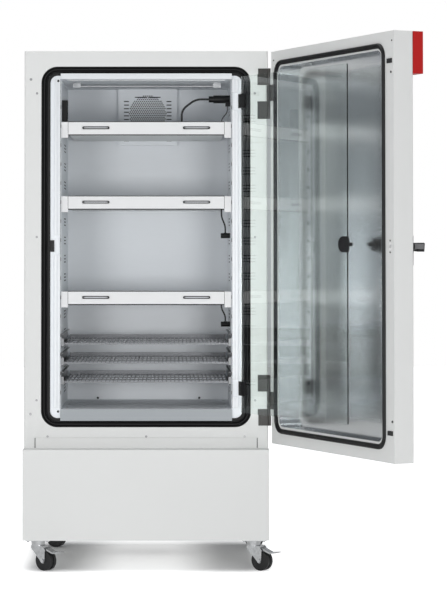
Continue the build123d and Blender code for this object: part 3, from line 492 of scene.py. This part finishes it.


# Grip slots in the light rails, filled with black as painted shade, a black strip under each rail as painted
# shade of its recessed foot, and dark strips along the top and at both ends of each rail
railValues = {
    "tops": (1235.7, 953.0, 591.0),
    "half": 297.0,
    "height": 47.0,
    "face": 10.0,
    "slotX": 191.5,
    "slotDrop": 22.0,
    "slotSize": (103.0, 10.5),
    "slotDepth": (0.4, 3.6),
    "barSize": (92.0, 4.6),
    "barDepth": (-0.6, 0.3),
    "topSeam": (-0.5, 2.2),
    "topSeamDepth": (-0.2, 3.0),
    "footShadeStrip": (-4.2, 0.0),
    "footShadeDepth": (0.8, 3.4),
    "endSeam": (-0.6, 0.9),
    "endSeamDepth": (-0.15, 1.0),
}
slotShades = bmesh.new()
slotBars = bmesh.new()
face = railValues["face"]
half = railValues["half"]
for top in railValues["tops"]:
    foot = top - railValues["height"]
    for side in (-1, 1):
        x = side * railValues["slotX"]
        z = top - railValues["slotDrop"]
        # Black inside each slot is painted shade
        addBar(slotShades, x, span(face, railValues["slotDepth"]), z, *railValues["slotSize"])
        addBar(slotBars, x, span(face, railValues["barDepth"]), z, *railValues["barSize"])
    topSeam = span(top, railValues["topSeam"])
    # The strip under the foot is painted shade
    footShadeStrip = span(foot, railValues["footShadeStrip"])
    addBox(slotShades, (-half, half), span(face, railValues["topSeamDepth"]), topSeam)
    addBox(slotShades, (-half, half), span(face, railValues["footShadeDepth"]), footShadeStrip)
    for side in (-1, 1):
        edge = onSide(side, span(half, railValues["endSeam"]))
        addBox(slotShades, edge, span(face, railValues["endSeamDepth"]), (foot, top))
finishPiece(slotShades, "railSlotShades", shadeBlack)
finishPiece(slotBars, "railSlotBars", lipChrome)
print("stage: rails")

# Round field of small holes in the fan cover drawn as black discs, and a black plate behind its slots:
# painted shade seen through the holes and slots
fanValues = {
    "face": 538.0,
    "middle": 1300.0,
    "radius": 75.0,
    "pitch": 8.2,
    "rowShare": 0.87,
    "hole": 2.9,
    "holeDepth": (-0.4, 0.2),
    "holeSides": 6,
    "half": 112.0,
    "spaceDepth": (1.6, 2.2),
    "low": 1180.0,
    "high": 1390.0,
}
fanHoles = bmesh.new()
rows = int(fanValues["radius"] / fanValues["pitch"]) + 2
holeFront, holeBack = span(fanValues["face"], fanValues["holeDepth"])
for row in range(-rows, rows + 1):
    for column in range(-rows, rows + 1):
        x = fanValues["pitch"] * (column + 0.5 * (row % 2))
        z = fanValues["rowShare"] * fanValues["pitch"] * row
        if x * x + z * z < fanValues["radius"] ** 2:
            level = fanValues["middle"] + z
            front = (x, holeFront, level)
            back = (x, holeBack, level)
            addPost(fanHoles, front, back, fanValues["hole"], fanValues["holeSides"])
finishPiece(fanHoles, "fanGuardHoles", shadeBlack)
fanShade = bmesh.new()
half = fanValues["half"]
spaceDepth = span(fanValues["face"], fanValues["spaceDepth"])
addBox(fanShade, (-half, half), spaceDepth, (fanValues["low"], fanValues["high"]))
finishPiece(fanShade, "fanSpaceShade", shadeBlack)
print("stage: fan cover")

# Pieces on the outer door are placed along it from its hinge, and outwards from its inner plane.
doorValues = {"hinge": (467.0, -5.0), "angle": 114.5}
doorAngle = math.radians(doorValues["angle"])
doorAlong = Vector((-math.cos(doorAngle), -math.sin(doorAngle), 0))
doorAway = Vector((-doorAlong.y, doorAlong.x, 0))


def doorPlace(u, out, z):
    x, y = doorValues["hinge"]
    return place(x + u * doorAlong.x + out * doorAway.x, y + u * doorAlong.y + out * doorAway.y, z)


# A flat-sided piece between two places along the door, from its outline of out and height
def addDoorPrism(mesh, us, outline):
    first = [mesh.verts.new(doorPlace(us[0], out, z)) for out, z in outline]
    second = [mesh.verts.new(doorPlace(us[1], out, z)) for out, z in outline]
    mesh.faces.new(first)
    mesh.faces.new(list(reversed(second)))
    for n in range(len(outline)):
        after = (n + 1) % len(outline)
        mesh.faces.new((first[after], first[n], second[n], second[after]))
    bmesh.ops.recalc_face_normals(mesh, faces=mesh.faces)


# The lever's foot, a grey plate on the black lever's end as a painted highlight, and the white catch plate on
# the inner side of the door's edge
leverValues = {
    "along": 901.0,
    "level": 760.0,
    "foot": (-26.0, -2.0),
    "footOutline": ((90.9, -14.0), (99.5, -14.0), (99.5, -20.0), (91.2, -54.0)),
    "endHighlight": (1.5, 4.6),
    "endHighlightOutline": ((101.0, -9.0), (137.0, -9.0), (137.0, 9.0), (101.0, 9.0)),
    "catch": (-9.5, 9.5),
    "catchOut": (5.7, 6.6),
    "catchRise": (-6.0, 6.0),
    "catchEnds": 4.0,
    "catchRadius": 9.0,
    "catchSides": 24,
}
leverU = leverValues["along"]
leverZ = leverValues["level"]


def leverOutline(points):
    return [(out, leverZ + z) for out, z in points]


leverFoot = bmesh.new()
addDoorPrism(leverFoot, span(leverU, leverValues["foot"]), leverOutline(leverValues["footOutline"]))
finishPiece(leverFoot, "leverFoot", leverPlastic, "outer_door")
# Painted highlight on the lever's end
leverHighlightPlate = bmesh.new()
addDoorPrism(leverHighlightPlate, span(leverU, leverValues["endHighlight"]), leverOutline(leverValues["endHighlightOutline"]))
finishPiece(leverHighlightPlate, "leverEndHighlight", leverHighlightGrey, "lever")
catch = bmesh.new()
catchIn, catchOut = leverValues["catchOut"]
catchLow, catchHigh = leverValues["catchRise"]
catchOutline = ((catchIn, catchLow), (catchOut, catchLow), (catchOut, catchHigh), (catchIn, catchHigh))
addDoorPrism(catch, span(leverU, leverValues["catch"]), leverOutline(catchOutline))
for side in (-1, 1):
    z = leverZ + side * leverValues["catchEnds"]
    inner = doorPlace(leverU, catchIn, z)
    outer = doorPlace(leverU, catchOut, z)
    turn = (outer - inner).to_track_quat("Z", "Y").to_matrix().to_4x4()
    bmesh.ops.create_cone(
        catch,
        cap_ends=True,
        segments=leverValues["catchSides"],
        radius1=leverValues["catchRadius"] / 1000,
        radius2=leverValues["catchRadius"] / 1000,
        depth=(catchOut - catchIn) / 1000,
        matrix=Matrix.Translation((inner + outer) / 2) @ turn,
    )
finishPiece(catch, "catchPlate", catchWhite, "outer_door")
print("stage: lever")

# Air slots in both side walls, filled with black as painted shade, and the dark joint between the walls and
# the flange
slotValues = {
    "wall": 324.9,
    "depth": 0.8,
    "first": 196.0,
    "pitch": 72.3,
    "rows": 16,
    "middle": 330.0,
    "length": 149.0,
    "height": 4.4,
    "steps": (0.0, 12.5, 25.0),
    "notchY": (12.4, 23.6),
    "notchZ": (5.4, 18.6),
    "seam": (0.3, 1.5),
    "seamY": (2.0, 6.0),
    "seamZ": (150.0, 1398.0),
}
slots = bmesh.new()
wall = slotValues["wall"]
reach = slotValues["length"] / 2
rise = slotValues["height"] / 2
for side in (-1, 1):
    xs = onSide(side, (wall, wall - slotValues["depth"]))
    for row in range(slotValues["rows"]):
        level = slotValues["first"] + row * slotValues["pitch"]
        for step in slotValues["steps"]:
            z = level + step
            addBox(slots, xs, span(slotValues["middle"], (-reach, reach)), (z - rise, z + rise))
        addBox(slots, xs, slotValues["notchY"], span(level, slotValues["notchZ"]))
    addBox(slots, onSide(side, span(wall, slotValues["seam"])), slotValues["seamY"], slotValues["seamZ"])
finishPiece(slots, "wallSlotShades", shadeBlack)
print("stage: wall slots")

# Holes in the chamber floor, screws low on the back wall, pin holes at the flange corners
# and the gaps at both ends of the service panel
holeValues = {
    "floor": (146.6, 147.3),
    "floorX": 304.0,
    "floorY": (108.0, 284.0, 463.0),
    "floorRadius": 4.5,
    "screws": ((-201.0, 153.0), (208.0, 153.0)),
    "screwY": (561.8, 563.5),
    "screwRadius": 4.6,
    "corners": ((-334.0, 1391.0, -1.6), (-334.0, 137.0, 8.0)),
    "cornerDepth": (-0.15, 0.4),
    "cornerRadius": 4.5,
    "panelX": (419.2, 421.6),
    "panelY": (-0.6, 0.6),
    "panelZ": (0.0, 38.0),
}
holes = bmesh.new()
holeLow, holeHigh = holeValues["floor"]
for side in (-1, 1):
    for y in holeValues["floorY"]:
        x = side * holeValues["floorX"]
        addPost(holes, (x, y, holeLow), (x, y, holeHigh), holeValues["floorRadius"])
screwFront, screwBack = holeValues["screwY"]
for x, z in holeValues["screws"]:
    addPost(holes, (x, screwFront, z), (x, screwBack, z), holeValues["screwRadius"])
for x, z, face in holeValues["corners"]:
    front, back = span(face, holeValues["cornerDepth"])
    addPost(holes, (x, front, z), (x, back, z), holeValues["cornerRadius"])
for side in (-1, 1):
    addBox(holes, onSide(side, holeValues["panelX"]), holeValues["panelY"], holeValues["panelZ"])
finishPiece(holes, "pinHoles", shadeBlack)
print("stage: holes")

# Floor: it glows white round the object. Under the plinth its glow drops, from the middle to none at the
# castors: a painted shadow on top of the lamps' own shadow
floorValues = {
    "size": 30.0,
    "color": (0.95, 0.95, 0.95, 1),
    "roughness": 0.9,
    "plinthY": 360.0,
    "middleGlow": 0.38,
    "castorGlow": 0.0,
    "farGlow": 1.0,
    "middle": (0.08, 0.32),
    "margin": (0.36, 0.30, 0.0),
    "stretch": (1.6, 1.0, 0.0),
    "fade": (0.04, 0.30),
}
bpy.ops.mesh.primitive_plane_add(size=floorValues["size"], location=(0, 0, 0))
floor = bpy.context.object
floor.name = "floor"
floorMaterial, floorTree, floorShader = startMaterial("floorWhite")
floorShader.inputs["Base Color"].default_value = floorValues["color"]
floorShader.inputs["Roughness"].default_value = floorValues["roughness"]
floorShader.inputs["Specular IOR Level"].default_value = 0.0
floorShader.inputs["Emission Color"].default_value = (1, 1, 1, 1)


def vectorNode(operation, source, other=None):
    node = floorTree.nodes.new("ShaderNodeVectorMath")
    node.operation = operation
    floorTree.links.new(source, node.inputs[0])
    if other is not None:
        node.inputs[1].default_value = other
    return node.outputs["Value" if operation == "LENGTH" else "Vector"]


def fadeNode(value, span, low, high):
    node = rangeNode(floorTree, value, low, high)
    node.interpolation_type = "SMOOTHSTEP"
    node.inputs["From Min"].default_value, node.inputs["From Max"].default_value = span
    return node.outputs["Result"]


plinthMiddle = place(0, floorValues["plinthY"], 0)
floorCoords = floorTree.nodes.new("ShaderNodeTexCoord")
offset = vectorNode("SUBTRACT", floorCoords.outputs["Object"], (plinthMiddle.x, plinthMiddle.y, 0))
offset = vectorNode("ABSOLUTE", offset)
sideways = floorTree.nodes.new("ShaderNodeSeparateXYZ")
floorTree.links.new(offset, sideways.inputs["Vector"])
outside = vectorNode("SUBTRACT", offset, floorValues["margin"])
outside = vectorNode("MAXIMUM", outside, (0, 0, 0))
outside = vectorNode("MULTIPLY", outside, floorValues["stretch"])
outside = vectorNode("LENGTH", outside)
floorPath = floorTree.nodes.new("ShaderNodeLightPath")
# Glow under the plinth, fading to none at the castors: painted shadow
middleGlow = floorValues["middleGlow"]
underGlow = fadeNode(sideways.outputs["X"], floorValues["middle"], middleGlow, floorValues["castorGlow"])
seenGlow = rangeNode(floorTree, floorPath.outputs["Is Camera Ray"], middleGlow / 2, floorValues["farGlow"])
floorGlow = fadeNode(outside, floorValues["fade"], underGlow, seenGlow.outputs["Result"])
floorTree.links.new(floorGlow, floorShader.inputs["Emission Strength"])
floor.data.materials.append(floorMaterial)

# Plain ambient light, a little stronger where it is mirrored, and white behind the object
worldValues = {"ambient": (0.93, 0.96, 1.0, 1), "strength": 0.22, "glossy": 0.45}
world = bpy.data.worlds.new("world")
scene.world = world
world.use_nodes = True
worldTree = world.node_tree
for old in list(worldTree.nodes):
    worldTree.nodes.remove(old)
worldOut = worldTree.nodes.new("ShaderNodeOutputWorld")
ambient = worldTree.nodes.new("ShaderNodeBackground")
ambient.inputs["Color"].default_value = worldValues["ambient"]
seen = worldTree.nodes.new("ShaderNodeBackground")
seen.inputs["Color"].default_value = (1, 1, 1, 1)
seen.inputs["Strength"].default_value = 1.0
path = worldTree.nodes.new("ShaderNodeLightPath")
glossy = rangeNode(worldTree, path.outputs["Is Glossy Ray"], worldValues["strength"], worldValues["glossy"])
worldTree.links.new(glossy.outputs["Result"], ambient.inputs["Strength"])
choose = worldTree.nodes.new("ShaderNodeMixShader")
worldTree.links.new(path.outputs["Is Camera Ray"], choose.inputs["Fac"])
worldTree.links.new(ambient.outputs["Background"], choose.inputs[1])
worldTree.links.new(seen.outputs["Background"], choose.inputs[2])
worldTree.links.new(choose.outputs["Shader"], worldOut.inputs["Surface"])

# Soft studio lights. The front ones stand off to the sides, so the door's pan doesn't mirror them.
lightValues = [
    {"name": "front", "at": (2600, -6800, 1500), "aim": (0, 0, 760), "size": (3.0, 3.0), "watts": 34.0},
    {"name": "keyLeft", "at": (-3200, -4200, 2400), "aim": (0, 0, 700), "size": (2.6, 2.6), "watts": 38.0},
    {"name": "fillRight", "at": (3600, -4000, 1800), "aim": (200, 0, 700), "size": (2.4, 3.0), "watts": 12.0},
    {"name": "lowRight", "at": (1500, -5400, 420), "aim": (0, 560, 330), "size": (1.2, 0.9), "watts": 45.0},
    {"name": "lowLeft", "at": (-1900, -5400, 420), "aim": (0, 560, 330), "size": (1.2, 0.9), "watts": 45.0},
    {"name": "overhead", "at": (0, 100, 4600), "aim": (0, 100, 0), "size": (4.0, 4.0), "watts": 110.0},
]
for values in lightValues:
    data = bpy.data.lights.new(values["name"], "AREA")
    data.shape = "RECTANGLE"
    data.size, data.size_y = values["size"]
    data.energy = values["watts"]
    lamp = bpy.data.objects.new(values["name"], data)
    lamp.location = place(*values["at"])
    toward = place(*values["aim"]) - lamp.location
    lamp.rotation_euler = toward.to_track_quat("-Z", "Y").to_euler()
    scene.collection.objects.link(lamp)
scene.view_settings.view_transform = "Standard"
print("stage: floor, world and lights")
